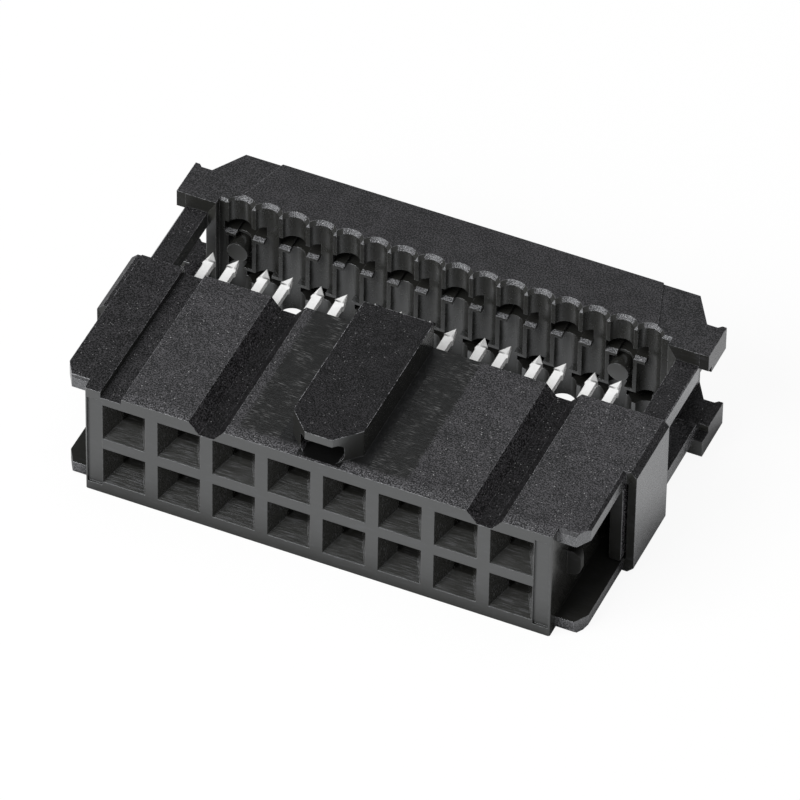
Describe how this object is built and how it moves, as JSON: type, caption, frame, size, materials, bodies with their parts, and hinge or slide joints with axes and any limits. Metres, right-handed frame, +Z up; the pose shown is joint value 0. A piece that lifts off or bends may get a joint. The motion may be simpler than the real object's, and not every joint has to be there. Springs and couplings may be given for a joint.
{
  "type": "idc socket",
  "caption": "Ribbon-cable socket with a keyed black housing, a sliding cover with wire grooves held open on two frame-shaped legs, and forked insulation-displacement contacts.",
  "frame": {"origin": "middle of the underside of the box round the whole part, cover open", "axes": "+X along the contact rows towards the end with the plain broad side, +Y from the mating face to the cover, +Z up towards the side with the polarising key"},
  "size_m": [0.0248, 0.0162, 0.0072],
  "materials": {
    "black_plastic": "glass-filled black plastic, fine spark-eroded grain on the outer faces, smooth in the slots and on the mating face",
    "tin_plate": "bright tin plate over a copper alloy sheet"
  },
  "bodies": {
    "housing": {"housing": "black_plastic", "contact_top_1": "tin_plate", "contact_top_2": "tin_plate", "contact_top_3": "tin_plate", "contact_top_4": "tin_plate", "contact_top_5": "tin_plate", "contact_top_6": "tin_plate", "contact_top_7": "tin_plate", "contact_top_8": "tin_plate", "contact_bottom_1": "tin_plate", "contact_bottom_2": "tin_plate", "contact_bottom_3": "tin_plate", "contact_bottom_4": "tin_plate", "contact_bottom_5": "tin_plate", "contact_bottom_6": "tin_plate", "contact_bottom_7": "tin_plate", "contact_bottom_8": "tin_plate"},
    "cover": {"cover": "black_plastic"}
  },
  "joints": [
    {"name": "cover_slide", "type": "slide", "parent": "housing", "child": "cover", "axis": [0, -1, 0], "range_m": [0, 0.004]}
  ]
}
